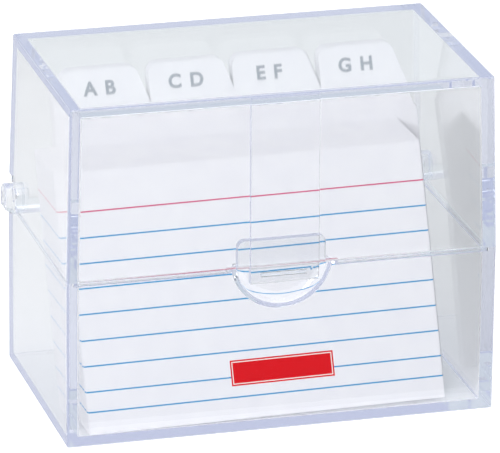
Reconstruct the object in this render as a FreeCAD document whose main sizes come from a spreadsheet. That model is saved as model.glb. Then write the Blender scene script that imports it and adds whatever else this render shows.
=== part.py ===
# Clear hinged box for small index cards, in millimetres.
# A moulded base and a moulded lid turn on two pins at the rear. Inside stand a pack of ruled
# cards and twelve alphabetical guide cards, leaning back towards the lid's rear wall.
# Origin: centre of the base's underside. +X to the right, -Y to the front, +Z up.
import FreeCAD, Part
import math
import os
import re
import Sketcher

doc = FreeCAD.newDocument("CardIndexBox")

# Driving sizes, in millimetres and degrees
SIZES = {
    # Cards
    "card_width": 74,
    "card_height": 52,
    "card_thickness": 0.15,
    "card_gap": 0.02,
    "card_stagger": 0.2,
    "guide_rise": 2,
    "guide_thickness": 0.24,
    "tab_width": 19.4,
    "tab_height": 11.4,
    "tab_corner": 2.4,
    "tab_slope": 3.8,
    "tab_shoulder": 0.3,
    # Room that the box leaves around the cards
    "side_room": 9.2,
    "inner_depth": 46.2,
    "head_room": 5.5,
    "foot_gap": 0.2,
    "rest_gap": 0.05,
    "lean_gap": 0.9,
    "ruled_side_gap": 2.75,
    "guide_side_gap": 1.8,
    # Angle by which the stack stands askew in the box, its left end nearer to the front
    "stack_turn": 1.7,
    # Walls
    "wall": 2.4,
    "floor_thickness": 1.6,
    "top_thickness": 2.2,
    "corner_radius": 0.6,
    "inner_radius": 0.4,
    "edge_round": 0.4,
    "floor_round": 0.3,
    "lid_draft": 1.5,
    # Rim where lid and base meet
    "seam_height": 34.7,
    "seam_gap": 0.08,
    "lip_height": 0.9,
    "lip_thickness": 1.1,
    "rim_gap": 0.12,
    # Hinge
    "hinge_inset": 4.7,
    "hinge_rise": 2.3,
    "open_angle": 95,
    "stop_gap": 0.15,
    "pin_radius": 1.25,
    "pin_clearance": 0.08,
    "pin_reach": 2.7,
    "ear_radius": 2.5,
    "ear_thickness": 1.9,
    "ear_gap": 0.15,
    "ear_root": 0.8,
    "ear_round": 0.4,
    "ear_heel": 0.2,
    "apron_gap": 0.2,
    "notch_gap": 0.25,
    # Latch
    "tongue_width": 14,
    "tongue_proud": 0.8,
    "tongue_drop": 3.2,
    "tongue_thickness": 1.5,
    "bead_radius": 0.5,
    "bead_length": 9.4,
    "bead_drop": 1.7,
    "scoop_radius": 9.8,
    "scoop_depth": 8.7,
    "scoop_shell": 1.5,
    "catch_gap": 0.25,
    "catch_width": 18,
    "catch_height": 5,
    "catch_corner": 1.5,
    "ledge_height": 0.6,
    "ledge_depth": 1.3,
    # Length by which a cut runs past what it cuts
    "overrun": 1,
}
RULED_PACKS = 8
CARDS_PER_PACK = 10
TAB_POSITIONS = 4
GUIDE_NAMES = ["ab", "cd", "ef", "gh", "ij", "kl", "mn", "op", "qr", "st", "uv", "wz"]
STAGGER_TURN_SHARE = 0.37

# Sizes that follow from the driving ones
FORMULAS = {
    "inner_width": "card_width + side_room",
    "box_width": "inner_width + 2 * wall",
    "box_depth": "inner_depth + 2 * wall",
    "front_face": "-box_depth / 2",
    "rear_face": "box_depth / 2",
    "side_face": "box_width / 2",
    "guide_height": "card_height + guide_rise + tab_height",
    "guide_stand": "floor_thickness + guide_height * cos(lean_angle)",
    "box_height": "guide_stand + head_room + top_thickness",
    "rim_height": "seam_height - seam_gap",
    "lid_inset": "(box_height - seam_height) * tan(lid_draft)",
    "ceiling_height": "box_height - top_thickness",
    "ceiling_inset": "(ceiling_height - seam_height) * tan(lid_draft)",
    "hinge_y": "rear_face - hinge_inset",
    "hinge_z": "seam_height + hinge_rise",
    "rear_wall_radius": "(hinge_inset - hinge_rise * tan(lid_draft)) * cos(lid_draft)",
    "open_lid_angle": "open_angle - lid_draft",
    "stop_drop": "(rear_wall_radius - hinge_inset * cos(open_lid_angle)) / sin(open_lid_angle)",
    "rear_rim_height": "hinge_z - stop_drop - stop_gap",
    "ear_end": "hinge_y + ear_radius + ear_heel",
    "recess_depth": "wall + catch_gap",
    "scoop_z": "seam_height + scoop_radius - scoop_depth",
    "scoop_mouth": "2 * sqrt(scoop_radius ^ 2 - (scoop_z - rim_height) ^ 2)",
    "card_pitch": "card_thickness + card_gap",
    "guide_pitch": "guide_thickness + card_gap",
    "tab_pitch": f"(card_width - tab_width - tab_shoulder) / {TAB_POSITIONS - 1}",
    "tab_turn": "atan(tab_height / tab_slope)",
    "tab_cut": "tab_corner * tan(tab_turn / 2)",
}

sheet = doc.addObject("Spreadsheet::Sheet", "Sizes")


def add_row(row, alias, content):
    """One row of the sheet: a name, and the cell that carries the value under that alias."""
    sheet.set(f"A{row}", alias)
    sheet.set(f"B{row}", content)
    sheet.setAlias(f"B{row}", alias)


def stack_thickness():
    """Thickness of all the cards together, square to the cards."""
    ruled = RULED_PACKS * CARDS_PER_PACK * (SIZES["card_thickness"] + SIZES["card_gap"])
    guides = len(GUIDE_NAMES) * (SIZES["guide_thickness"] + SIZES["card_gap"])
    return ruled + guides


def find_lean():
    """Angle at which the front card's left foot is foot_gap from the front wall and the last
    guide's top right corner is lean_gap from the lid's rear wall, found by halving."""
    front_foot = -SIZES["inner_depth"] / 2 + SIZES["foot_gap"]
    guide_height = SIZES["card_height"] + SIZES["guide_rise"] + SIZES["tab_height"]
    inner_width = SIZES["card_width"] + SIZES["side_room"]
    guide_reach = inner_width - SIZES["ruled_side_gap"] - SIZES["guide_side_gap"]
    draft = math.tan(math.radians(SIZES["lid_draft"]))
    turn = math.radians(SIZES["stack_turn"])
    low, high = 0.0, math.radians(60)
    for _ in range(60):
        lean = (low + high) / 2
        top_z = SIZES["floor_thickness"] + guide_height * math.cos(lean)
        wall_y = SIZES["inner_depth"] / 2 - (top_z - SIZES["seam_height"]) * draft - SIZES["lean_gap"]
        leaning = stack_thickness() / math.cos(lean) + guide_height * math.sin(lean)
        top_y = front_foot + leaning * math.cos(turn) + guide_reach * math.sin(turn)
        if top_y > wall_y:
            high = lean
        else:
            low = lean
    return math.degrees(low)


row_number = 0
for alias, number in SIZES.items():
    row_number += 1
    add_row(row_number, alias, str(number))
row_number += 1
add_row(row_number, "lean_angle", str(find_lean()))
for alias, formula in FORMULAS.items():
    row_number += 1
    add_row(row_number, alias, "=" + formula)
doc.recompute()

CELL_NAMES = set(SIZES) | set(FORMULAS) | {"lean_angle"}


def bind(formula):
    """The formula with every cell name pointing at the sheet."""
    return re.sub(r"[a-z]\w*", lambda word: f"Sizes.{word[0]}" if word[0] in CELL_NAMES else word[0], formula)


def value(formula):
    """What the formula gives with the present sizes."""
    result = sheet.evalExpression(bind(formula))
    return getattr(result, "Value", result)


# Sketch helpers


def add_sketch(body, name, plane, height="0", upward="0"):
    """Sketch on one of the body's origin planes, moved along the plane's normal and up its own
    vertical axis."""
    sketch = body.newObject("Sketcher::SketchObject", name)
    support = next(face for face in body.Origin.OriginFeatures if face.Role == plane)
    sketch.AttachmentSupport = [(support, "")]
    sketch.MapMode = "FlatFace"
    sketch.setExpression(".AttachmentOffset.Base.z", bind(height))
    sketch.setExpression(".AttachmentOffset.Base.y", bind(upward))
    doc.recompute()
    return sketch


def set_constraint(sketch, kind, geometry, formula, point=None):
    """A driving dimension bound to the sheet."""
    place = (geometry,) if point is None else (geometry, point)
    index = sketch.addConstraint(Sketcher.Constraint(kind, *place, value(formula)))
    sketch.setExpression(f"Constraints[{index}]", bind(formula))


def arc_between(start, end, radius, turn):
    """The short arc from start to end. turn is 1 where it bends to the left, -1 to the right."""
    half = (end - start) * 0.5
    reach = math.sqrt(max(radius**2 - half.Length**2, 0))
    side = FreeCAD.Vector(-half.y, half.x, 0).normalize()
    centre = start + half + side * reach * turn
    angles = [math.atan2(point.y - centre.y, point.x - centre.x) for point in (start, end)]
    if turn < 0:
        angles.reverse()
    return Part.ArcOfCircle(Part.Circle(centre, FreeCAD.Vector(0, 0, 1), radius), angles[0], angles[1])


def add_outline(sketch, corners):
    """Closed outline through the corners. A corner is (across, up), and the edge that leaves it
    is straight, or (across, up, radius, turn), and that edge is an arc."""
    points = [FreeCAD.Vector(value(corner[0]), value(corner[1]), 0) for corner in corners]
    edges = []
    for number, corner in enumerate(corners):
        start, end = points[number], points[(number + 1) % len(points)]
        if len(corner) == 2:
            edges.append((sketch.addGeometry(Part.LineSegment(start, end), False), 1, 2))
        else:
            arc = arc_between(start, end, value(corner[2]), corner[3])
            ends = (1, 2) if corner[3] > 0 else (2, 1)
            edges.append((sketch.addGeometry(arc, False), *ends))
    for number, corner in enumerate(corners):
        edge, first, last = edges[number]
        after, after_first, _ = edges[(number + 1) % len(edges)]
        sketch.addConstraint(Sketcher.Constraint("Coincident", edge, last, after, after_first))
        set_constraint(sketch, "DistanceX", edge, corner[0], first)
        set_constraint(sketch, "DistanceY", edge, corner[1], first)
        if len(corner) > 2:
            set_constraint(sketch, "Radius", edge, corner[2])


def add_rectangle(sketch, left, right, bottom, top):
    """Upright rectangle between four places."""
    add_outline(sketch, [(left, bottom), (right, bottom), (right, top), (left, top)])


def add_rounded_rectangle(sketch, width, depth, radius):
    """Rectangle with round corners, centred on the sketch's origin."""
    across, up = f"(({width}) / 2)", f"(({depth}) / 2)"
    side, end = f"({across} - ({radius}))", f"({up} - ({radius}))"
    add_outline(sketch, [
        (f"-{side}", f"-{up}"), (side, f"-{up}", radius, 1),
        (across, f"-{end}"), (across, end, radius, 1),
        (side, up), (f"-{side}", up, radius, 1),
        (f"-{across}", end), (f"-{across}", f"-{end}", radius, 1),
    ])


# Feature helpers


def extrude(body, kind, sketch, length, backward=False, both_ways=False, draft="0"):
    """Pad or Pocket of a sketch. A Pad goes along the sketch's normal and a Pocket against it,
    unless backward. A negative draft narrows it."""
    feature = body.newObject(f"PartDesign::{kind}", sketch.Name.replace("Sketch", kind))
    feature.Profile = sketch
    feature.SideType = "Symmetric" if both_ways else "One side"
    feature.Reversed = backward
    feature.setExpression("Length", bind(length))
    feature.setExpression("TaperAngle", bind(draft))
    doc.recompute()
    return feature


def round_edges(body, name, radius, chosen):
    """Fillet of the edges of the body's last feature for which chosen(edge) holds."""
    base = body.Tip
    names = [f"Edge{number}" for number, edge in enumerate(base.Shape.Edges, 1) if chosen(edge)]
    feature = body.newObject("PartDesign::Fillet", name)
    feature.Base = (base, names)
    feature.setExpression("Radius", bind(radius))
    doc.recompute()
    return feature


def lies_at_height(edge, height):
    """True where the whole edge is at this height."""
    box = edge.BoundBox
    return abs(box.ZMin - height) < TOLERANCE and abs(box.ZMax - height) < TOLERANCE


def climbs(edge, low, high):
    """True where the edge runs up from one of these heights to the other."""
    box = edge.BoundBox
    return abs(box.ZMin - low) < TOLERANCE and abs(box.ZMax - high) < TOLERANCE


def mirror_left(body, name, features):
    """The features again on the left side."""
    feature = body.newObject("PartDesign::Mirrored", name)
    feature.Originals = features
    plane = next(face for face in body.Origin.OriginFeatures if face.Role == "YZ_Plane")
    feature.MirrorPlane = (plane, [""])
    body.Tip = feature
    doc.recompute()
    return feature


TOLERANCE = 1e-4
parts = []


def add_body(label):
    """Empty body for one piece."""
    body = doc.addObject("PartDesign::Body", label)
    body.Label = label
    parts.append(body)
    return body


# Base: open tray with a thumb scoop, a catch and two hinge ears


def build_base():
    body = add_body("base")
    shell = add_sketch(body, "BaseShellSketch", "XY_Plane")
    add_rounded_rectangle(shell, "box_width", "box_depth", "corner_radius")
    extrude(body, "Pad", shell, "rim_height")
    round_edges(body, "BaseFootRound", "edge_round", lambda edge: lies_at_height(edge, 0))

    cavity = add_sketch(body, "BaseCavitySketch", "XY_Plane", "floor_thickness")
    add_rounded_rectangle(cavity, "inner_width", "inner_depth", "inner_radius")
    extrude(body, "Pocket", cavity, "rim_height - floor_thickness + overrun", backward=True)
    floor_height = value("floor_thickness")
    round_edges(body, "BaseFloorRound", "floor_round", lambda edge: lies_at_height(edge, floor_height))

    rebate = add_sketch(body, "BaseRebateSketch", "XY_Plane", "rim_height - lip_height - rim_gap")
    add_rounded_rectangle(
        rebate,
        "inner_width + 2 * (lip_thickness + rim_gap)",
        "inner_depth + 2 * (lip_thickness + rim_gap)",
        "inner_radius + (lip_thickness + rim_gap) / 2",
    )
    extrude(body, "Pocket", rebate, "lip_height + rim_gap + overrun", backward=True)
    build_rear_rim(body)
    build_scoop(body)
    build_ears(body)
    return body


def build_rear_rim(body):
    """The rear wall is lower than the sides, so that the lid's rear wall can swing down past it."""
    corners = add_sketch(body, "RearCornerSketch", "YZ_Plane")
    add_rectangle(corners, "ear_end", "rear_face + overrun", "rear_rim_height", "rim_height + overrun")
    extrude(body, "Pocket", corners, "box_width + 2 * overrun", both_ways=True)
    middle = add_sketch(body, "RearMiddleSketch", "YZ_Plane")
    add_rectangle(
        middle, "inner_depth / 2 - overrun", "rear_face + overrun", "rear_rim_height", "rim_height + overrun"
    )
    extrude(body, "Pocket", middle, "inner_width", both_ways=True)


def add_dish_profile(sketch, radius, depth):
    """Half section of a round dish with a quarter-round edge, about the sketch's horizontal axis."""
    floor = f"(front_face + {depth})"
    add_outline(sketch, [
        ("front_face", "0"), (floor, "0"),
        (floor, f"{radius} - {depth}", depth, 1), ("front_face", radius),
    ])


def build_scoop(body):
    """Thumb scoop: the front wall dishes inwards below the latch tongue, with a ledge along its
    top and a catch plate that stands up behind the lid."""
    outer = add_sketch(body, "ScoopShellSketch", "YZ_Plane", upward="scoop_z")
    add_dish_profile(outer, "(scoop_radius + scoop_shell)", "(recess_depth + scoop_shell)")
    revolve(body, "Revolution", outer)

    above = add_sketch(body, "ScoopTrimSketch", "YZ_Plane")
    add_rectangle(
        above, "front_face - overrun", "front_face + recess_depth + scoop_shell + overrun",
        "rim_height", "scoop_z + scoop_radius + scoop_shell + overrun",
    )
    extrude(body, "Pocket", above, "2 * (scoop_radius + scoop_shell + overrun)", both_ways=True)

    inner = add_sketch(body, "ScoopRecessSketch", "YZ_Plane", upward="scoop_z")
    add_dish_profile(inner, "scoop_radius", "recess_depth")
    revolve(body, "Groove", inner)

    ledge = add_sketch(body, "ScoopLedgeSketch", "YZ_Plane")
    add_rectangle(
        ledge, "front_face + recess_depth - ledge_depth", "front_face + recess_depth + scoop_shell",
        "rim_height - ledge_height", "rim_height",
    )
    extrude(body, "Pad", ledge, "scoop_mouth", both_ways=True)

    catch = add_sketch(body, "CatchPlateSketch", "XZ_Plane", "-(front_face + recess_depth)")
    side, top = "(catch_width / 2)", "(seam_height + catch_height)"
    add_outline(catch, [
        (f"-{side}", "rim_height - ledge_height"), (side, "rim_height - ledge_height"),
        (side, f"{top} - catch_corner", "catch_corner", 1), (f"{side} - catch_corner", top),
        (f"-({side} - catch_corner)", top, "catch_corner", 1), (f"-{side}", f"{top} - catch_corner"),
    ])
    extrude(body, "Pad", catch, "scoop_shell", backward=True)


def revolve(body, kind, sketch):
    """Full turn about the sketch's horizontal axis, added or cut."""
    feature = body.newObject(f"PartDesign::{kind}", sketch.Name.replace("Sketch", kind))
    feature.Profile = sketch
    feature.ReferenceAxis = (sketch, ["H_Axis"])
    doc.recompute()
    return feature


def build_ears(body):
    """Hinge ears: a round tab stands outside the lid at each side, and its pin points inwards."""
    inner_side, outer_side = "(side_face + ear_gap)", "(side_face + ear_gap + ear_thickness)"
    rear, front = "(hinge_y + ear_radius)", "(hinge_y - ear_radius)"
    tab = add_sketch(body, "EarTabSketch", "YZ_Plane", inner_side)
    top = "(hinge_z + ear_radius)"
    add_outline(tab, [
        (front, "rim_height"), (rear, "rim_height"),
        (rear, "hinge_z", "ear_radius", 1), ("hinge_y", top, "ear_radius", 1), (front, "hinge_z"),
    ])
    tab_pad = extrude(body, "Pad", tab, "ear_thickness")

    root = add_sketch(body, "EarRootSketch", "XZ_Plane", "-hinge_y")
    inside = "(side_face - edge_round)"
    add_outline(root, [
        (inside, "rim_height - ear_root"), ("side_face", "rim_height - ear_root"),
        (outer_side, "rim_height"), (inside, "rim_height"),
    ])
    root_pad = extrude(body, "Pad", root, "2 * ear_radius", both_ways=True)

    pin = add_sketch(body, "PinSketch", "YZ_Plane", "inner_width / 2 - pin_reach")
    add_circle(pin, "hinge_y", "hinge_z", "pin_radius")
    pin_pad = extrude(body, "Pad", pin, "wall + pin_reach + ear_gap + ear_thickness / 2")
    mirror_left(body, "EarMirror", [tab_pad, root_pad, pin_pad])

    outer = value(outer_side)
    round_edges(body, "EarRound", "ear_round", lambda edge: is_ear_edge(edge, outer))


def is_ear_edge(edge, outer):
    """True for the edges round an ear's outer face, above its root."""
    box = edge.BoundBox
    flat = abs(box.XMax - box.XMin) < TOLERANCE and abs(abs(box.XMax) - outer) < TOLERANCE
    return flat and box.ZMax > value("rim_height") + TOLERANCE


def add_circle(sketch, across, up, radius):
    """Circle with its centre and radius bound to the sheet."""
    centre = FreeCAD.Vector(value(across), value(up), 0)
    circle = Part.Circle(centre, FreeCAD.Vector(0, 0, 1), value(radius))
    edge = sketch.addGeometry(circle, False)
    set_constraint(sketch, "DistanceX", edge, across, 3)
    set_constraint(sketch, "DistanceY", edge, up, 3)
    set_constraint(sketch, "Radius", edge, radius)


# Lid: drafted cover with a latch tongue, an inner lip and a rear apron


def build_lid():
    body = add_body("lid")
    shell = add_sketch(body, "LidShellSketch", "XY_Plane", "seam_height")
    add_rectangle(shell, "-box_width / 2", "box_width / 2", "front_face", "rear_face")
    extrude(body, "Pad", shell, "box_height - seam_height", draft="-lid_draft")
    foot_height, top_height = value("seam_height"), value("box_height")
    round_edges(body, "LidCornerRound", "corner_radius", lambda edge: climbs(edge, foot_height, top_height))
    round_edges(body, "LidTopRound", "edge_round", lambda edge: lies_at_height(edge, top_height))

    cavity = add_sketch(body, "LidCavitySketch", "XY_Plane", "seam_height")
    add_rectangle(cavity, "-inner_width / 2", "inner_width / 2", "-inner_depth / 2", "inner_depth / 2")
    extrude(body, "Pocket", cavity, "ceiling_height - seam_height", backward=True, draft="-lid_draft")
    ceiling = value("ceiling_height")
    round_edges(body, "LidInnerCornerRound", "inner_radius", lambda edge: climbs(edge, foot_height, ceiling))
    round_edges(body, "LidCeilingRound", "floor_round", lambda edge: lies_at_height(edge, ceiling))
    build_lip(body)
    build_rear_apron(body)
    build_tongue(body)
    return body


def build_lip(body):
    """Inner lip that drops into the base's rebate. It stops short of the hinge and the catch."""
    lip = add_sketch(body, "LipSketch", "XY_Plane", "seam_height")
    add_rounded_rectangle(
        lip, "inner_width + 2 * lip_thickness", "inner_depth + 2 * lip_thickness",
        "inner_radius + lip_thickness / 2",
    )
    add_rounded_rectangle(lip, "inner_width", "inner_depth", "inner_radius")
    extrude(body, "Pad", lip, "lip_height", backward=True)

    ends = add_sketch(body, "LipEndSketch", "XY_Plane", "seam_height")
    side = "(side_face + overrun)"
    add_rectangle(ends, f"-{side}", side, "hinge_y - ear_radius", "rear_face + overrun")
    extrude(body, "Pocket", ends, "lip_height + overrun")

    opening = add_sketch(body, "LipOpeningSketch", "XY_Plane", "seam_height")
    side = "(scoop_mouth / 2 + scoop_shell + rim_gap)"
    add_rectangle(opening, f"-{side}", side, "front_face", "front_face + wall + overrun")
    extrude(body, "Pocket", opening, "lip_height + overrun")


def build_rear_apron(body):
    """The lid's rear wall reaches down behind the hinge axis, rounded about it."""
    apron = add_sketch(body, "ApronSketch", "XY_Plane", "seam_height")
    side = "(inner_width / 2 - apron_gap)"
    add_rectangle(apron, f"-{side}", side, "inner_depth / 2", "rear_face")
    extrude(body, "Pad", apron, "hinge_inset - hinge_rise", backward=True)

    rolled = add_sketch(body, "ApronRoundSketch", "YZ_Plane")
    beyond, below = "(rear_face + overrun)", "(hinge_z - hinge_inset - overrun)"
    add_outline(rolled, [
        ("rear_face", "hinge_z", "hinge_inset", -1), ("hinge_y", "hinge_z - hinge_inset"),
        ("hinge_y", below), (beyond, below), (beyond, "hinge_z"),
    ])
    extrude(body, "Pocket", rolled, "box_width + 2 * overrun", both_ways=True)

    notch = add_sketch(body, "SideNotchSketch", "YZ_Plane", side)
    notch_y = f"({turned_back_corner()[0]} - notch_gap)"
    notch_z = f"({turned_back_corner()[1]} + notch_gap)"
    edge_z = f"(hinge_z - sqrt(hinge_rise ^ 2 - ({notch_y} - hinge_y) ^ 2))"
    add_outline(notch, [
        ("hinge_y", "hinge_z - hinge_rise", "hinge_rise", 1), (notch_y, edge_z), (notch_y, notch_z),
        (beyond, notch_z), (beyond, below), ("hinge_y", below),
    ])
    notch_cut = extrude(body, "Pocket", notch, "wall + apron_gap + overrun", backward=True)
    mirror_left(body, "NotchMirror", [notch_cut])

    hole = add_sketch(body, "PinHoleSketch", "YZ_Plane")
    add_circle(hole, "hinge_y", "hinge_z", "pin_radius + pin_clearance")
    extrude(body, "Pocket", hole, "box_width + 2 * overrun", both_ways=True)


def turned_back_corner():
    """Where the base's side rim ends behind the ear, seen from the lid when it is fully open."""
    across, up = "(ear_end - hinge_y)", "(rim_height - hinge_z)"
    turned_y = f"({across} * cos(open_angle) - {up} * sin(open_angle))"
    turned_z = f"({across} * sin(open_angle) + {up} * cos(open_angle))"
    climb = f"(hinge_inset - {turned_y}) * tan(open_angle - 90)"
    return f"(hinge_y + {turned_y})", f"(hinge_z + {turned_z} + {climb})"


def build_tongue(body):
    """Latch tongue: a raised band from the lid's top edge down over the scoop, with a bead behind
    its end that snaps under the ledge."""
    tongue = add_sketch(body, "TongueSketch", "YZ_Plane")
    foot_y, foot_z = "(front_face - tongue_proud)", "(seam_height - tongue_drop)"
    head_z = "(box_height - edge_round)"
    head_y = f"({foot_y} + ({head_z} - seam_height) * tan(lid_draft))"
    add_outline(tongue, [
        (foot_y, foot_z), (f"{foot_y} + tongue_thickness", foot_z),
        (f"{foot_y} + tongue_thickness", "seam_height"), (f"{head_y} + tongue_thickness", head_z),
        (head_y, head_z), (foot_y, "seam_height"),
    ])
    extrude(body, "Pad", tongue, "tongue_width", both_ways=True)
    bead = add_sketch(body, "BeadSketch", "YZ_Plane")
    add_circle(bead, f"{foot_y} + tongue_thickness", "seam_height - bead_drop", "bead_radius")
    extrude(body, "Pad", bead, "bead_length", both_ways=True)


# Cards


def lean_placement(across, front, thickness):
    """Placement of a card this far across the stack, whose front face is this far back in it,
    square to the cards. The card leans back and stands on the floor on its rear bottom edge. The
    stack is turned about the front card's left foot."""
    y = f"(({front} + {thickness}) / cos(lean_angle) - {thickness} * cos(lean_angle))"
    z = f"(floor_thickness + rest_gap + {thickness} * sin(lean_angle))"
    lean = "create(<<rotation>>; create(<<vector>>; 1; 0; 0); -lean_angle)"
    card = f"create(<<placement>>; create(<<vector>>; {across}; {y}; {z}); {lean})"
    foot = "create(<<vector>>; ruled_side_gap - inner_width / 2; front_face + wall + foot_gap; 0)"
    turn = "create(<<rotation>>; create(<<vector>>; 0; 0; 1); stack_turn)"
    return bind(f"create(<<placement>>; {foot}; {turn}) * {card}")


def stagger(number):
    """Small sideways offset that differs from card to card."""
    return f"card_stagger * sin({360 * STAGGER_TURN_SHARE * number:.1f})"


def build_ruled_card(number, label):
    """One ruled card, counted from the front of the stack."""
    card = doc.addObject("Part::Box", label)
    card.Label = label
    card.setExpression("Length", bind("card_width"))
    card.setExpression("Width", bind("card_thickness"))
    card.setExpression("Height", bind("card_height"))
    placement = lean_placement(stagger(number), f"({number} * card_pitch)", "card_thickness")
    card.setExpression("Placement", placement)
    return card


def build_ruled_packs():
    """The ruled cards. The front card is a part of its own, and the others lie in small packs."""
    parts.append(build_ruled_card(0, "front_card"))
    for pack_number in range(RULED_PACKS):
        first = max(pack_number * CARDS_PER_PACK, 1)
        last = (pack_number + 1) * CARDS_PER_PACK
        pack = doc.addObject("Part::Compound", f"ruled_cards_{pack_number + 1}")
        pack.Label = f"ruled_cards_{pack_number + 1}"
        pack.Links = [build_ruled_card(number, f"ruled_card_{number}") for number in range(first, last)]
        parts.append(pack)


def build_guide(number, letters):
    """One guide card: taller than the ruled cards, with a tab in one of four places. The tab's
    left edge is upright, and its right edge slopes and reaches a little past the next tab."""
    body = add_body(f"guide_{letters}")
    card = add_sketch(body, f"Guide{letters.capitalize()}Sketch", "XZ_Plane")
    place = number % TAB_POSITIONS
    shoulder = "(card_height + guide_rise)"
    left, right = f"({place} * tab_pitch)", f"({place} * tab_pitch + tab_width)"
    corners = [
        ("0", "0"), ("card_width", "0"), ("card_width", shoulder), (right, shoulder),
        (f"{right} - tab_slope + tab_cut * cos(tab_turn)", "guide_height - tab_cut * sin(tab_turn)",
         "tab_corner", 1),
        (f"{right} - tab_slope - tab_cut", "guide_height"),
        (f"{left} + tab_corner", "guide_height", "tab_corner", 1), (left, "guide_height - tab_corner"),
    ]
    if place > 0:
        corners += [(left, shoulder), ("0", shoulder)]
    add_outline(card, corners)
    extrude(body, "Pad", card, "guide_thickness", backward=True)
    front = f"({RULED_PACKS * CARDS_PER_PACK} * card_pitch + {number} * guide_pitch)"
    across = f"inner_width - ruled_side_gap - guide_side_gap - card_width + {stagger(number)}"
    body.setExpression("Placement", lean_placement(across, front, "guide_thickness"))


build_base()
build_lid()
build_ruled_packs()
for guide_number, guide_letters in enumerate(GUIDE_NAMES):
    build_guide(guide_number, guide_letters)
doc.recompute()

# Check and write
for item in doc.Objects:
    if "Invalid" in item.State or "Error" in item.State:
        raise RuntimeError(f"{item.Label} did not build: {item.State}")
for part in parts:
    if part.Shape.isNull() or not part.Shape.isValid():
        raise RuntimeError(f"{part.Label} has no valid shape")
os.makedirs("parts", exist_ok=True)
for part in parts:
    part.Shape.exportStep(f"parts/{part.Label}.step")
    print(part.Label, len(part.Shape.Solids), round(part.Shape.Volume, 2))
print("lean angle", round(value("lean_angle"), 2), "box height", round(value("box_height"), 2))
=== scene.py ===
import math

import bpy
from mathutils import Matrix, Vector


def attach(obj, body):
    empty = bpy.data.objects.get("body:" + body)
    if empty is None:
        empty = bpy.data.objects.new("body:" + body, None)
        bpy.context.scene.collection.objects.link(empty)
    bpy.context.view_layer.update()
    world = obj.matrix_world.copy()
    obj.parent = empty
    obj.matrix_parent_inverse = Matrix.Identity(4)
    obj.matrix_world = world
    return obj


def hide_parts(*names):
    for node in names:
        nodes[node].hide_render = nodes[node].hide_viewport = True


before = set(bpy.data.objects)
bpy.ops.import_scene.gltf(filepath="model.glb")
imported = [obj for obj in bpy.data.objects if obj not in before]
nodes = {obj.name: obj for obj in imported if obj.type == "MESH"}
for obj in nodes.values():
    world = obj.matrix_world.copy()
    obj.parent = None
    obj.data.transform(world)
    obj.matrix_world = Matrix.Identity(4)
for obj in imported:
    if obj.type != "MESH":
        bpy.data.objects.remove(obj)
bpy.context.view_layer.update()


# Base of the box
# One injection moulding of clear general-purpose polystyrene: tray, thumb scoop, catch plate,
# hinge ears and pins in one piece. The mould is polished, so the faces are glossy and see-through.


def srgb(code):
    """Linear colour of an sRGB hex code."""
    channels = [int(code[place:place + 2], 16) / 255 for place in (1, 3, 5)]
    linear = [c / 12.92 if c <= 0.04045 else ((c + 0.055) / 1.055) ** 2.4 for c in channels]
    return (*linear, 1.0)


def add_node(tree, kind, settings=None, links=None):
    """A node with its settings, which are properties or input values, and its incoming links."""
    node = tree.nodes.new(kind)
    for name, setting in (settings or {}).items():
        if isinstance(name, str) and hasattr(node, name):
            setattr(node, name, setting)
        else:
            node.inputs[name].default_value = setting
    for name, socket in (links or {}).items():
        tree.links.new(socket, node.inputs[name])
    return node


def math_step(tree, operation, first, second=0.0):
    """Result of one Math node on sockets or plain numbers."""
    step = add_node(tree, "ShaderNodeMath", {"operation": operation})
    for place, term in enumerate((first, second)):
        if isinstance(term, float):
            step.inputs[place].default_value = term
        else:
            tree.links.new(term, step.inputs[place])
    return step.outputs[0]


def map_range(tree, value, low, high, at_low=0.0, at_high=1.0):
    """Runs from at_low to at_high while value runs from low to high, and stays level beyond."""
    return add_node(tree, "ShaderNodeMapRange", {
        "From Min": low, "From Max": high, "To Min": at_low, "To Max": at_high,
    }, {"Value": value}).outputs["Result"]


def noise(tree, length, detail):
    """Noise from 0 to 1 on Object coordinates, with lumps of this length."""
    place = add_node(tree, "ShaderNodeTexCoord")
    return add_node(tree, "ShaderNodeTexNoise", {"Scale": 1 / length, "Detail": detail}, {
        "Vector": place.outputs["Object"]}).outputs["Fac"]


def relief(tree, height, strength, depth):
    """Normal of a surface with this height map pressed into it."""
    return add_node(tree, "ShaderNodeBump", {"Strength": strength, "Distance": depth}, {
        "Height": height}).outputs["Normal"]


def mix_shaders(tree, share, first, second):
    """The first shader where share is 0, and the second where it is 1."""
    return add_node(tree, "ShaderNodeMixShader", links={0: share, 1: first, 2: second}).outputs["Shader"]


def new_material(name):
    """Empty node material, with its tree."""
    material = bpy.data.materials.new(name)
    material.use_nodes = True
    material.node_tree.nodes.clear()
    return material, material.node_tree


# Clear polystyrene, injection moulded: light bends strongly in it, and its edges look faintly
# blue because light runs a long way through the plastic there. Faint flow marks bend highlights.
PLASTIC_IOR = 1.59
PLASTIC_WHITE = "#FEFFFF"
LAMP_WAY_WHITE = "#FDFDFE"
POLISHED_ROUGHNESS = 0.012
HANDLED_ROUGHNESS = 0.05
HANDLING_HAZE_LENGTH = 0.009
HANDLING_HAZE_DETAIL = 4.0
FLOW_MARK_LENGTH = 0.016
FLOW_MARK_DETAIL = 1.0
FLOW_MARK_STRENGTH = 0.3
FLOW_MARK_DEPTH = 0.00002
EDGE_TINT = "#AEB9E2"
EDGE_TINT_DENSITY = 7.0
# Past this ray depth the plastic shows a painted glow instead of its own shading: a flat pale emission that
# stands in for the light turning on inside the walls, so the edges look pale
PAINTED_GLOW_DEPTH = 7.0
PAINTED_EDGE_GLOW = "#D4D9EC"


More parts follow.
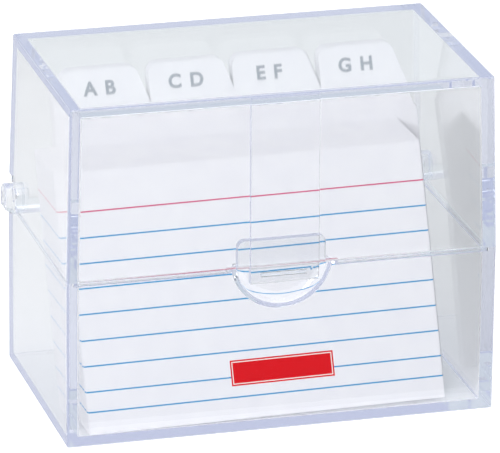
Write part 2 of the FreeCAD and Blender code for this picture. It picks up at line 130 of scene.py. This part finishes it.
def clear_polystyrene(name):
    """Clear moulding. Lamps and the light that cards scatter pass it straight, so that it throws
    no dark shadow on what it holds."""
    material, tree = new_material(name)
    flow = noise(tree, FLOW_MARK_LENGTH, FLOW_MARK_DETAIL)
    haze = noise(tree, HANDLING_HAZE_LENGTH, HANDLING_HAZE_DETAIL)
    plastic = add_node(tree, "ShaderNodeBsdfPrincipled", {
        "Base Color": srgb(PLASTIC_WHITE), "Transmission Weight": 1.0, "IOR": PLASTIC_IOR,
    }, {
        "Roughness": map_range(tree, haze, 0.0, 1.0, POLISHED_ROUGHNESS, HANDLED_ROUGHNESS),
        "Normal": relief(tree, flow, FLOW_MARK_STRENGTH, FLOW_MARK_DEPTH),
    }).outputs["BSDF"]
    straight = add_node(tree, "ShaderNodeBsdfTransparent", {"Color": srgb(LAMP_WAY_WHITE)}).outputs["BSDF"]
    # Painted glow: once a ray has turned more often than the set depth, the plastic shows this pale emission
    # in place of its own shading
    glow = add_node(tree, "ShaderNodeEmission", {"Color": srgb(PAINTED_EDGE_GLOW)}).outputs["Emission"]
    ray = add_node(tree, "ShaderNodeLightPath").outputs
    painted_glow_mask = math_step(tree, "GREATER_THAN", ray["Ray Depth"], PAINTED_GLOW_DEPTH)
    surface = mix_shaders(tree, painted_glow_mask, plastic, glow)
    surface = mix_shaders(tree, ray["Is Diffuse Ray"], surface, straight)
    surface = mix_shaders(tree, ray["Is Shadow Ray"], surface, straight)
    inside = add_node(tree, "ShaderNodeVolumeAbsorption", {
        "Color": srgb(EDGE_TINT), "Density": EDGE_TINT_DENSITY})
    add_node(tree, "ShaderNodeOutputMaterial", links={
        "Surface": surface, "Volume": inside.outputs["Volume"]})
    return material


def dress(node, material):
    """Gives a CAD node its finish in place of the plain one."""
    for material_slot in nodes[node].material_slots:
        material_slot.material = material


dress("base", clear_polystyrene("clear_polystyrene_base_moulding"))


# Lid of the box
# One injection moulding of the same polystyrene: drafted cover, latch tongue with its bead, inner
# lip and the holes that snap over the base's two pins.
dress("lid", clear_polystyrene("clear_polystyrene_lid_moulding"))


# Ruled cards
# White index cards of 74 by 52 mm, cut from smooth card stock and printed with eight blue lines
# and a red head line. They stand in packs, each card on the box's floor, and lean back together.
CARD_WIDTH = 0.074
CARD_HEIGHT = 0.052
CARD_THICKNESS = 0.00015
CARD_PITCH = 0.00017
CARD_STAGGER = 0.0002
STAGGER_TURN_SHARE = 0.37
CARDS_PER_PACK = 10
RULED_PACKS = 8
LEVEL_TOLERANCE = CARD_THICKNESS / 10


def foremost_corner(node):
    """A leaning card's lower left corner on its front face. The stack stands a little askew in
    the box, with its left end nearer to the front."""
    return min((vertex.co for vertex in nodes[node].data.vertices), key=lambda corner: corner.y)


front_corners = [vertex.co for vertex in nodes["front_card"].data.vertices]
card_foot = foremost_corner("front_card")
foot_right = max(front_corners, key=lambda corner: corner.x)
head_height = max(corner.z for corner in front_corners)
head_corners = [corner for corner in front_corners if head_height - corner.z < LEVEL_TOLERANCE]
head_left = min(head_corners, key=lambda corner: corner.x)
card_across = (foot_right - card_foot).normalized()
card_up = (head_left - card_foot).normalized()
card_front = card_across.cross(card_up)
card_lean = math.acos(card_up.z)
stack_turn = math.atan2(card_across.y, card_across.x)
straight_back = Vector((-math.sin(stack_turn), math.cos(stack_turn), 0))
step_back = straight_back * CARD_PITCH / math.cos(card_lean)


def card_pack_tree():
    """Geometry nodes for a pack of leaning cards. Each card carries its own card_place map:
    across and up the card, from 0 to 1."""
    tree = bpy.data.node_groups.new("leaning_card_pack", "GeometryNodeTree")
    for name, kind in (
        ("Cards", "NodeSocketInt"), ("First Card", "NodeSocketInt"), ("Card Size", "NodeSocketVector"),
        ("Foot", "NodeSocketVector"), ("Step Back", "NodeSocketVector"), ("Across", "NodeSocketVector"),
        ("Stagger", "NodeSocketFloat"), ("Stagger Turn", "NodeSocketFloat"),
        ("Lean", "NodeSocketFloat"), ("Turn", "NodeSocketFloat"), ("Finish", "NodeSocketMaterial"),
    ):
        tree.interface.new_socket(name, in_out="INPUT", socket_type=kind)
    tree.interface.new_socket("Cards", in_out="OUTPUT", socket_type="NodeSocketGeometry")
    given = add_node(tree, "NodeGroupInput").outputs

    # One card, with its lower left front corner at the origin, mapped and then leaned back
    half = add_node(tree, "ShaderNodeVectorMath", {"operation": "SCALE", "Scale": 0.5}, {
        0: given["Card Size"]})
    card = add_node(tree, "GeometryNodeMeshCube", links={"Size": given["Card Size"]})
    corner = add_node(tree, "GeometryNodeTransform", links={
        "Geometry": card.outputs["Mesh"], "Translation": half.outputs["Vector"]})
    place = add_node(tree, "ShaderNodeVectorMath", {"operation": "DIVIDE"}, {
        0: add_node(tree, "GeometryNodeInputPosition").outputs[0], 1: given["Card Size"]})
    parts = add_node(tree, "ShaderNodeSeparateXYZ", links={0: place.outputs["Vector"]})
    across_up = add_node(tree, "ShaderNodeCombineXYZ", links={
        "X": parts.outputs["X"], "Y": parts.outputs["Z"]})
    mapped = add_node(tree, "GeometryNodeStoreNamedAttribute", {
        "data_type": "FLOAT2", "domain": "CORNER", "Name": "card_place",
    }, {"Geometry": corner.outputs["Geometry"], "Value": across_up.outputs["Vector"]})
    lean_turn = add_node(tree, "ShaderNodeCombineXYZ", links={
        "X": math_step(tree, "MULTIPLY", given["Lean"], -1.0), "Z": given["Turn"]})
    leaning = add_node(tree, "GeometryNodeTransform", links={
        "Geometry": mapped.outputs["Geometry"], "Rotation": lean_turn.outputs["Vector"]})

    # A row of feet on the floor, each a little to one side, with a card on each
    index = add_node(tree, "GeometryNodeInputIndex").outputs[0]
    number = math_step(tree, "ADD", index, given["First Card"])
    turns = math_step(tree, "MULTIPLY", number, given["Stagger Turn"])
    swing = math_step(tree, "SINE", math_step(tree, "MULTIPLY", turns, math.tau))
    sideways = add_node(tree, "ShaderNodeVectorMath", {"operation": "SCALE"}, {
        0: given["Across"], "Scale": math_step(tree, "MULTIPLY", swing, given["Stagger"])})
    feet = add_node(tree, "GeometryNodeMeshLine", links={
        "Count": given["Cards"], "Start Location": given["Foot"], "Offset": given["Step Back"]})
    placed = add_node(tree, "GeometryNodeSetPosition", links={
        "Geometry": feet.outputs["Mesh"], "Offset": sideways.outputs["Vector"]})
    cards = add_node(tree, "GeometryNodeInstanceOnPoints", links={
        "Points": placed.outputs["Geometry"], "Instance": leaning.outputs["Geometry"]})
    real = add_node(tree, "GeometryNodeRealizeInstances", links={"Geometry": cards.outputs["Instances"]})
    finished = add_node(tree, "GeometryNodeSetMaterial", links={
        "Geometry": real.outputs["Geometry"], "Material": given["Finish"]})
    add_node(tree, "NodeGroupOutput", links={0: finished.outputs["Geometry"]})
    return tree


def add_object(name, content):
    """Object with this mesh, curve or lamp, in the scene."""
    made = bpy.data.objects.new(name, content)
    bpy.context.scene.collection.objects.link(made)
    return made


def plain_mesh(carrier):
    """Plain mesh of what a carrier object shows. The carrier is removed."""
    mesh = bpy.data.meshes.new_from_object(carrier.evaluated_get(bpy.context.evaluated_depsgraph_get()))
    bpy.data.objects.remove(carrier)
    return mesh


def grow(name, tree, values):
    """Plain mesh object that the geometry nodes make with these input values."""
    carrier = add_object(name + "_carrier", bpy.data.meshes.new(name + "_carrier"))
    modifier = carrier.modifiers.new("grow", "NODES")
    modifier.node_group = tree
    for item in tree.interface.items_tree:
        if item.in_out == "INPUT":
            modifier[item.identifier] = values[item.name]
    return add_object(name, plain_mesh(carrier))


# Uncoated card stock, calendered smooth and printed offset: matt and nearly white, with a faint
# cloudiness from its fibres. The ink lies flat in the surface.
CARD_WHITE = "#EFEFF2"
CARD_SHADE = "#ECECF0"
CLOUD_LENGTH = 0.004
CLOUD_DETAIL = 3.0
CLOUD_FROM, CLOUD_TO = 0.35, 0.65
FIBRE_LENGTH = 0.0003
FIBRE_DETAIL = 5.0
FIBRE_STRENGTH = 0.5
FIBRE_DEPTH = 0.000004
PAPER_ROUGHNESS = 0.8
PAPER_SHINE = 0.2
LINE_BLUE = "#2C97CE"
LINE_RED = "#D0527C"
LINE_SOLID = 0.000084
LINE_FADE = 0.000112
BLUE_LINE_HEIGHTS = (0.0044, 0.0084, 0.0135, 0.0186, 0.0238, 0.0289, 0.0338, 0.03885)
RED_LINE_HEIGHT = 0.0440
LEAST_FACING = 0.6


def band(tree, place, middle, half_width, softness):
    """1 where the place is within half_width of the middle, falling to 0 over softness."""
    distance = math_step(tree, "ABSOLUTE", math_step(tree, "SUBTRACT", place, middle))
    return map_range(tree, distance, half_width, half_width + softness, 1.0, 0.0)


def mix_colours(tree, share, first, second):
    """The first hex colour where share is 0, and the second where it is 1."""
    return add_node(tree, "ShaderNodeMix", {"data_type": "RGBA", 6: srgb(first), 7: srgb(second)}, {
        "Factor": share}).outputs[2]


def ink(tree, below, colour, cover):
    """Colour with ink laid over it where cover is 1."""
    return add_node(tree, "ShaderNodeMix", {"data_type": "RGBA", 7: srgb(colour)}, {
        "Factor": cover, 6: below}).outputs[2]


def card_stock(name, printing=None):
    """Card stock on Object coordinates. printing(tree, colour) lays the print over its colour."""
    material, tree = new_material(name)
    clouds = map_range(tree, noise(tree, CLOUD_LENGTH, CLOUD_DETAIL), CLOUD_FROM, CLOUD_TO)
    colour = mix_colours(tree, clouds, CARD_WHITE, CARD_SHADE)
    if printing:
        colour = printing(tree, colour)
    fibres = noise(tree, FIBRE_LENGTH, FIBRE_DETAIL)
    paper = add_node(tree, "ShaderNodeBsdfPrincipled", {
        "Roughness": PAPER_ROUGHNESS, "Specular IOR Level": PAPER_SHINE,
    }, {"Base Color": colour, "Normal": relief(tree, fibres, FIBRE_STRENGTH, FIBRE_DEPTH)})
    add_node(tree, "ShaderNodeOutputMaterial", links={"Surface": paper.outputs["BSDF"]})
    return material


def on_face(tree):
    """1 on the card's two faces, 0 on its cut edges, which carry no ink."""
    normal = add_node(tree, "ShaderNodeNewGeometry").outputs["Normal"]
    backward = add_node(tree, "ShaderNodeSeparateXYZ", links={0: normal}).outputs["Y"]
    return math_step(tree, "GREATER_THAN", math_step(tree, "ABSOLUTE", backward), LEAST_FACING)


def card_place(tree):
    """Places across and up the card in metres."""
    mapped = add_node(tree, "ShaderNodeUVMap", {"uv_map": "card_place"})
    parts = add_node(tree, "ShaderNodeSeparateXYZ", links={0: mapped.outputs["UV"]})
    across = math_step(tree, "MULTIPLY", parts.outputs["X"], CARD_WIDTH)
    return across, math_step(tree, "MULTIPLY", parts.outputs["Y"], CARD_HEIGHT)


def print_ruling(tree, colour):
    """Eight blue lines and the red head line, from edge to edge."""
    _, up = card_place(tree)
    faced = on_face(tree)
    blue = 0.0
    for height in BLUE_LINE_HEIGHTS:
        blue = math_step(tree, "MAXIMUM", band(tree, up, height, LINE_SOLID, LINE_FADE), blue)
    colour = ink(tree, colour, LINE_BLUE, math_step(tree, "MULTIPLY", blue, faced))
    red = band(tree, up, RED_LINE_HEIGHT, LINE_SOLID, LINE_FADE)
    return ink(tree, colour, LINE_RED, math_step(tree, "MULTIPLY", red, faced))


pack_tree = card_pack_tree()
ruled_stock = card_stock("smooth_card_stock_ruled_offset", print_ruling)


def add_cards(name, body, replaced, cards, first, finish):
    """A pack of ruled cards in the place of its CAD node."""
    piece = grow(name, pack_tree, {
        "Cards": cards, "First Card": first, "Card Size": (CARD_WIDTH, CARD_THICKNESS, CARD_HEIGHT),
        "Foot": card_foot + step_back * first, "Step Back": step_back, "Across": card_across,
        "Stagger": CARD_STAGGER, "Stagger Turn": STAGGER_TURN_SHARE,
        "Lean": card_lean, "Turn": stack_turn, "Finish": finish,
    })
    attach(piece, body)
    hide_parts(replaced)


for pack in range(RULED_PACKS):
    first_card = max(pack * CARDS_PER_PACK, 1)
    card_count = (pack + 1) * CARDS_PER_PACK - first_card
    add_cards(f"ruled_pack_{pack + 1}", f"cards_{pack + 1}", f"ruled_cards_{pack + 1}",
              card_count, first_card, ruled_stock)


# Front card
# The first card of the stack. It carries the same ruling and a plain red field with a thin pale
# border near its foot, printed with it.
FIELD_RED = "#DB0714"
FIELD_BORDER = "#F3E9E4"
FIELD_CENTRE = (0.0407, 0.0092)
FIELD_SIZE = (0.0215, 0.0051)
FIELD_BORDER_INSET = 0.0003
FIELD_BORDER_WIDTH = 0.0002
INK_EDGE = 0.00004


def inside_rectangle(tree, places, inset):
    """1 inside the red field drawn in by inset."""
    cover = 1.0
    for place, centre, size in zip(places, FIELD_CENTRE, FIELD_SIZE):
        cover = math_step(tree, "MULTIPLY", band(tree, place, centre, size / 2 - inset, INK_EDGE), cover)
    return cover


def print_front(tree, colour):
    """The ruling, and the red field with its border over it."""
    colour = print_ruling(tree, colour)
    places = card_place(tree)
    for shade, inset in (
        (FIELD_RED, 0.0), (FIELD_BORDER, FIELD_BORDER_INSET),
        (FIELD_RED, FIELD_BORDER_INSET + FIELD_BORDER_WIDTH),
    ):
        colour = ink(tree, colour, shade, inside_rectangle(tree, places, inset))
    return colour


front_stock = card_stock("smooth_card_stock_front_print", print_front)
add_cards("front_ruled_card", "cards_1", "front_card", 1, 0, front_stock)


# Guide cards
# Twelve taller cards with a tab each, cut from the same stock. Two letters of the alphabet are
# printed in grey on each tab.
GUIDE_LETTERS = ["AB", "CD", "EF", "GH", "IJ", "KL", "MN", "OP", "QR", "ST", "UV", "WZ"]
TAB_POSITIONS = 4
TAB_WIDTH = 0.0194
TAB_SHOULDER = 0.0003
TAB_PITCH = (CARD_WIDTH - TAB_WIDTH - TAB_SHOULDER) / (TAB_POSITIONS - 1)
LETTER_SIZE = 0.0039
LETTER_TOP_MARGIN = 0.0025
LETTER_SPACING = 1.9
LETTER_SHIFT = 0.0019
LETTER_WEIGHT = 0.00013
LETTER_GREY = "#66707E"
LETTER_GREY_WORN = "#848D99"
INK_THICKNESS = 0.00002
INK_ROUGHNESS = 0.6
INK_MOTTLE_LENGTH = 0.0005
INK_MOTTLE_DETAIL = 3.0


def letter_ink():
    """Grey offset ink, a little uneven because the tabs' stock takes it up unevenly."""
    material, tree = new_material("grey_offset_ink")
    grey = mix_colours(tree, noise(tree, INK_MOTTLE_LENGTH, INK_MOTTLE_DETAIL), LETTER_GREY, LETTER_GREY_WORN)
    printed = add_node(tree, "ShaderNodeBsdfPrincipled", {"Roughness": INK_ROUGHNESS}, {"Base Color": grey})
    add_node(tree, "ShaderNodeOutputMaterial", links={"Surface": printed.outputs["BSDF"]})
    return material


def letter_mesh(name, letters):
    """Thin flat letters, and the move that puts the middle of their top edge at the origin."""
    text = bpy.data.curves.new(name, "FONT")
    text.body = letters
    text.size = LETTER_SIZE
    text.align_x = "CENTER"
    text.align_y = "TOP_BASELINE"
    text.space_character = LETTER_SPACING
    text.extrude = INK_THICKNESS
    text.offset = LETTER_WEIGHT
    mesh = plain_mesh(add_object(name + "_text", text))
    widths = [vertex.co.x for vertex in mesh.vertices]
    middle = (max(widths) + min(widths)) / 2
    top = max(vertex.co.y for vertex in mesh.vertices)
    return mesh, Matrix.Translation(Vector((-middle, -top, 0)))


guide_stock = card_stock("smooth_card_stock_guides")
guide_ink = letter_ink()
card_face = Matrix((card_across, card_up, card_front)).transposed().to_4x4()

for number, letters in enumerate(GUIDE_LETTERS):
    node = f"guide_{letters.lower()}"
    dress(node, guide_stock)
    guide_foot = foremost_corner(node)
    guide_height = max((vertex.co - guide_foot).dot(card_up) for vertex in nodes[node].data.vertices)
    tab_middle = number % TAB_POSITIONS * TAB_PITCH + TAB_WIDTH / 2 - LETTER_SHIFT
    letter_top = guide_foot + card_across * tab_middle + card_up * (guide_height - LETTER_TOP_MARGIN)
    mesh, centring = letter_mesh(node + "_print", letters)
    mesh.transform(Matrix.Translation(letter_top) @ card_face @ centring)
    mesh.materials.clear()
    mesh.materials.append(guide_ink)
    print_piece = add_object(node + "_print", mesh)
    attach(print_piece, node)


# Floor, light and camera
# A white sheet to stand on, two soft lamps, and pale walls all round. The floor is 0.1 mm below
# the box, so that the box's underside stays a surface of its own.
FLOOR_HALF = 1.5
FLOOR_DROP = 0.0001
FLOOR_WHITE = "#F1F2F5"
FLOOR_GLOW = 0.5
FLOOR_GLOW_THROUGH = 0.1
PURE_WHITE = "#FFFFFF"
# A dark cloth lies before the box, out of the camera's sight: its mirror image in the front wall
# takes the floor's glare off the cards. Only rays that a surface has mirrored see it.
CLOTH_GREY = "#3A3F48"
CLOTH_FRONT, CLOTH_REAR = -0.45, -0.035
CLOTH_HALF_WIDTH = 0.22
UNDER_ONE_MIRRORING = 0.5


def between(tree, place, low, high):
    """1 where the place lies between low and high, else 0."""
    above_low = math_step(tree, "GREATER_THAN", place, low)
    return math_step(tree, "MULTIPLY", above_low, math_step(tree, "LESS_THAN", place, high))


floor_paint, floor_tree = new_material("white_floor")
floor_ray = add_node(floor_tree, "ShaderNodeLightPath").outputs
open_glow = math_step(floor_tree, "MULTIPLY", floor_ray["Is Camera Ray"], FLOOR_GLOW)
through_glow = math_step(floor_tree, "MULTIPLY", floor_ray["Is Transmission Ray"], FLOOR_GLOW_THROUGH)
glow = add_node(floor_tree, "ShaderNodeEmission", {"Color": srgb(PURE_WHITE)}, {
    "Strength": math_step(floor_tree, "ADD", open_glow, through_glow)})
white = add_node(floor_tree, "ShaderNodeBsdfDiffuse", {"Color": srgb(FLOOR_WHITE)})
lit_floor = add_node(floor_tree, "ShaderNodeAddShader", links={0: white.outputs[0], 1: glow.outputs[0]})
cloth = add_node(floor_tree, "ShaderNodeEmission", {"Color": srgb(CLOTH_GREY)})
floor_place = add_node(floor_tree, "ShaderNodeSeparateXYZ", links={
    0: add_node(floor_tree, "ShaderNodeTexCoord").outputs["Object"]}).outputs
on_cloth = math_step(
    floor_tree, "MULTIPLY",
    between(floor_tree, floor_place["X"], -CLOTH_HALF_WIDTH, CLOTH_HALF_WIDTH),
    between(floor_tree, floor_place["Y"], CLOTH_FRONT, CLOTH_REAR))
mirrored = math_step(floor_tree, "GREATER_THAN", floor_ray["Glossy Depth"], UNDER_ONE_MIRRORING)
floor_shader = mix_shaders(
    floor_tree, math_step(floor_tree, "MULTIPLY", mirrored, on_cloth), lit_floor.outputs[0], cloth.outputs[0])
add_node(floor_tree, "ShaderNodeOutputMaterial", links={"Surface": floor_shader})

floor_mesh = bpy.data.meshes.new("floor")
floor_corners = [
    (x * FLOOR_HALF, y * FLOOR_HALF, -FLOOR_DROP) for x, y in ((-1, -1), (1, -1), (1, 1), (-1, 1))]
floor_mesh.from_pydata(floor_corners, [], [(0, 1, 2, 3)])
floor_mesh.materials.append(floor_paint)
add_object("floor", floor_mesh)

# Walls of the room: white to the camera, and very pale, a little cooler to the right, to what is
# seen in and through the plastic.
ROOM_LIGHT = "#F2F3F3"
ROOM_STRENGTH = 0.55
ROOM_LEFT, ROOM_RIGHT = "#E8EEF1", "#D6DFE8"
ROOM_COOLER_FROM, ROOM_COOLER_TO = 0.1, 0.9
world = bpy.data.worlds.new("studio")
bpy.context.scene.world = world
world.use_nodes = True
world.node_tree.nodes.clear()
room_tree = world.node_tree
facing = add_node(room_tree, "ShaderNodeTexCoord")
rightward = add_node(room_tree, "ShaderNodeSeparateXYZ", links={0: facing.outputs["Generated"]}).outputs["X"]
wall_colour = mix_colours(
    room_tree, map_range(room_tree, rightward, ROOM_COOLER_FROM, ROOM_COOLER_TO), ROOM_LEFT, ROOM_RIGHT)
room_light = add_node(room_tree, "ShaderNodeBackground", {
    "Color": srgb(ROOM_LIGHT), "Strength": ROOM_STRENGTH}).outputs[0]
walls = add_node(room_tree, "ShaderNodeBackground", links={"Color": wall_colour}).outputs[0]
open_white = add_node(room_tree, "ShaderNodeBackground", {"Color": srgb(PURE_WHITE)}).outputs[0]
room_ray = add_node(room_tree, "ShaderNodeLightPath").outputs
in_plastic = math_step(room_tree, "MAXIMUM", room_ray["Is Glossy Ray"], room_ray["Is Transmission Ray"])
room = mix_shaders(room_tree, in_plastic, room_light, walls)
room = mix_shaders(room_tree, room_ray["Is Camera Ray"], room, open_white)
add_node(room_tree, "ShaderNodeOutputWorld", links={"Surface": room})

TOP_LAMP_PLACE = (0, 0.05, 0.75)
TOP_LAMP_SIZE = 0.9
TOP_LAMP_WATTS = 2.4
KEY_LAMP_PLACE = (-0.55, -0.9, 0.45)
KEY_LAMP_SIZE = 0.45
KEY_LAMP_WATTS = 7.0
BOX_MIDDLE = (0, 0, 0.035)


def add_softbox(name, place, size, watts):
    """Large square lamp that faces the box."""
    lamp = bpy.data.lights.new(name, "AREA")
    lamp.size = size
    lamp.energy = watts
    softbox = add_object(name, lamp)
    softbox.location = place
    softbox.rotation_euler = (Vector(BOX_MIDDLE) - Vector(place)).to_track_quat("-Z", "Y").to_euler()


add_softbox("top_softbox", TOP_LAMP_PLACE, TOP_LAMP_SIZE, TOP_LAMP_WATTS)
add_softbox("key_softbox", KEY_LAMP_PLACE, KEY_LAMP_SIZE, KEY_LAMP_WATTS)

# Camera: a long lens from the front left and a little above
IMAGE_WIDTH_PX = 500
FOCAL_PX = 5395.9
SENSOR_WIDTH_MM = 36.0
AZIMUTH = math.radians(-15.704)
ELEVATION = math.radians(20.172)
ROLL = math.radians(0.619)
DISTANCE = 1.0862
AIM = Vector((0, 0, 0.0352))
SHIFT_RIGHT = 0.000088
SHIFT_UP = -0.001417

level_back = Vector((math.sin(AZIMUTH), -math.cos(AZIMUTH), 0))
back = level_back * math.cos(ELEVATION) + Vector((0, 0, math.sin(ELEVATION)))
level_right = (-back).cross(Vector((0, 0, 1))).normalized()
level_up = level_right.cross(-back)
right = level_right * math.cos(ROLL) + level_up * math.sin(ROLL)
up = level_up * math.cos(ROLL) - level_right * math.sin(ROLL)
camera_data = bpy.data.cameras.new("camera")
camera_data.sensor_width = SENSOR_WIDTH_MM
camera_data.lens = FOCAL_PX * SENSOR_WIDTH_MM / IMAGE_WIDTH_PX
camera = add_object("camera", camera_data)
camera_place = AIM + back * DISTANCE + right * SHIFT_RIGHT + up * SHIFT_UP
camera.matrix_world = Matrix.Translation(camera_place) @ Matrix((right, up, back)).transposed().to_4x4()
bpy.context.scene.camera = camera
bpy.context.scene.view_settings.view_transform = "Standard"

# Light that has entered a clear wall runs along inside it and turns many times before it leaves.
MOST_TURNS = 24
MOST_MIRRORINGS = 20
light_paths = bpy.context.scene.cycles
light_paths.max_bounces = MOST_TURNS
light_paths.glossy_bounces = MOST_MIRRORINGS
light_paths.transmission_bounces = MOST_TURNS
light_paths.transparent_max_bounces = MOST_TURNS
